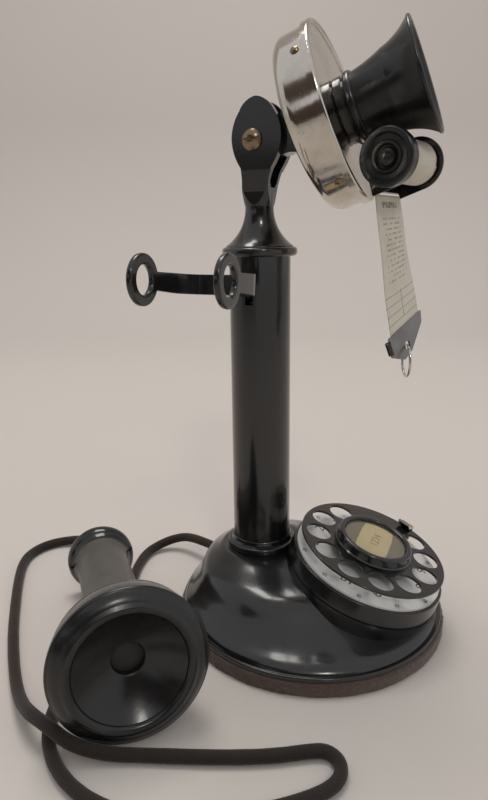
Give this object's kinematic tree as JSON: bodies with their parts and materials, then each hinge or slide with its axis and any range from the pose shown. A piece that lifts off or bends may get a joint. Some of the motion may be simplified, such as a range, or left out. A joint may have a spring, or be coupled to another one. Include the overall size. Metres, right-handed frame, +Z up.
{
  "type": "telephone",
  "caption": "Candlestick dial telephone: domed foot, slim column, tilting transmitter with mouthpiece, roll-up directory and a corded hand receiver.",
  "frame": {"origin": "on the table under the column's axis", "axes": "+Z up along the column; -Y towards the dial and the mouthpiece; -X towards the receiver hook"},
  "size_m": [0.2202, 0.2536, 0.2903],
  "materials": {
    "black_enamel": "gloss black baked enamel with light handling wear",
    "black_moulding": "gloss black moulded composition",
    "nickel": "polished nickel plate",
    "bright_steel": "plain steel hardware",
    "brass": "polished brass, darkened in the slot",
    "spring_brass": "dull spring metal",
    "felt": "rust-brown felt",
    "cord_braid": "dark brown braided cloth",
    "enamel_white": "white vitreous enamel with black numbers",
    "card": "cream card with a plain number",
    "paper": "aged printed paper",
    "window": "clear celluloid",
    "block_brown": "brown insulating board",
    "carbon": "dull black",
    "copper_coil": "silk-covered winding",
    "inner_metal": "plain sheet metal"
  },
  "bodies": {
    "stand": {"base_felt": "felt", "bottom_plate": "bright_steel", "bottom_plate_screws": "bright_steel", "base_shell": "black_enamel", "cord_bushing": "black_moulding", "line_inlet_bushing": "black_moulding", "terminal_block": "block_brown", "terminal_screws": "brass", "column_tube": "black_enamel", "foot_ring": "black_enamel", "column_foot_screws": "bright_steel", "switch_frame": "inner_metal", "hook_pin": "bright_steel", "contact_springs": "spring_brass", "contact_insulators": "block_brown", "hook_spring": "bright_steel", "collar_yoke": "black_enamel", "pivot_screw": "brass", "pivot_nut": "bright_steel", "dial_cup": "black_enamel", "number_plate": "enamel_white", "dial_frame": "inner_metal", "mainspring": "bright_steel", "finger_stop": "nickel", "pulse_springs": "spring_brass", "governor_cup": "inner_metal", "receiver_cord": "cord_braid"},
    "hook": {"hook_lever": "black_enamel"},
    "head": {"transmitter_lug": "black_enamel", "transmitter_cup": "nickel", "faceplate": "nickel", "rim_screws": "brass", "transmitter_bridge": "inner_metal", "carbon_button": "carbon", "transmitter_diaphragm": "inner_metal", "diaphragm_gasket": "felt", "mouthpiece": "black_moulding", "directory_case": "black_enamel", "directory_bracket": "black_enamel", "directory_rivets": "bright_steel"},
    "roll": {"roll_spindle": "bright_steel", "roll_knob": "black_moulding", "paper_roll": "paper"},
    "sheet": {"paper_strip": "paper", "strip_tab": "nickel", "strip_clip": "black_enamel"},
    "ring": {"pull_ring": "nickel"},
    "wheel": {"finger_wheel": "black_enamel", "card_ring": "black_enamel", "number_card": "card", "card_window": "window", "wheel_shaft": "bright_steel", "main_gear": "spring_brass"},
    "governor": {"governor_pinion": "spring_brass"},
    "receiver": {"ear_cap": "black_moulding", "receiver_shell": "black_moulding", "receiver_tail_plug": "black_moulding", "receiver_diaphragm": "carbon", "receiver_magnet": "bright_steel", "pole_coils": "copper_coil"}
  },
  "joints": [
    {"name": "hook_press", "type": "hinge", "parent": "stand", "child": "hook", "pos_m": [-0.004, 0, 0.173], "axis": [0, -1, 0], "range_deg": [0, 12], "stiffness_Nm_per_rad": 0.06, "springref_deg": -40.11, "deforming": ["hook_spring"]},
    {"name": "head_tilt", "type": "hinge", "parent": "stand", "child": "head", "pos_m": [0, 0, 0.2423], "axis": [-1, 0, 0], "range_deg": [-18, 30]},
    {"name": "sheet_pull", "type": "slide", "parent": "head", "child": "sheet", "axis": [0.0375, 0.1804, 0.9829], "range_m": [0, 0.042], "deforming": ["paper_strip"]},
    {"name": "roll_spin", "type": "hinge", "parent": "head", "child": "roll", "pos_m": [0.0015, -0.0685, 0.2302], "axis": [0.9703, -0.2419, 0], "range_deg": [0, 250]},
    {"name": "ring_swing", "type": "hinge", "parent": "sheet", "child": "ring", "pos_m": [0.0003, -0.07337, 0.14841], "axis": [-0.3826, -0.9055, 0.1836], "range_deg": [-25, 25]},
    {"name": "dial_turn", "type": "hinge", "parent": "stand", "child": "wheel", "pos_m": [0, -0.061, 0.04246], "axis": [0, 0.3, -0.9539], "range_deg": [0, 330], "stiffness_Nm_per_rad": 0.004, "springref_deg": -114.59},
    {"name": "governor_spin", "type": "hinge", "parent": "stand", "child": "governor", "pos_m": [0, -0.04278, 0.04819], "axis": [0, 0.3, -0.9539], "range_deg": [-1240, 0]},
    {"name": "receiver_lift", "type": "slide", "parent": "stand", "child": "receiver", "axis": [0, 0, 1], "range_m": [0, 0.05]}
  ],
  "couplings": [
    {"joint": "roll_spin", "follows": "sheet_pull", "rad_per_m": 101},
    {"joint": "governor_spin", "follows": "dial_turn", "ratio": -3.75}
  ]
}
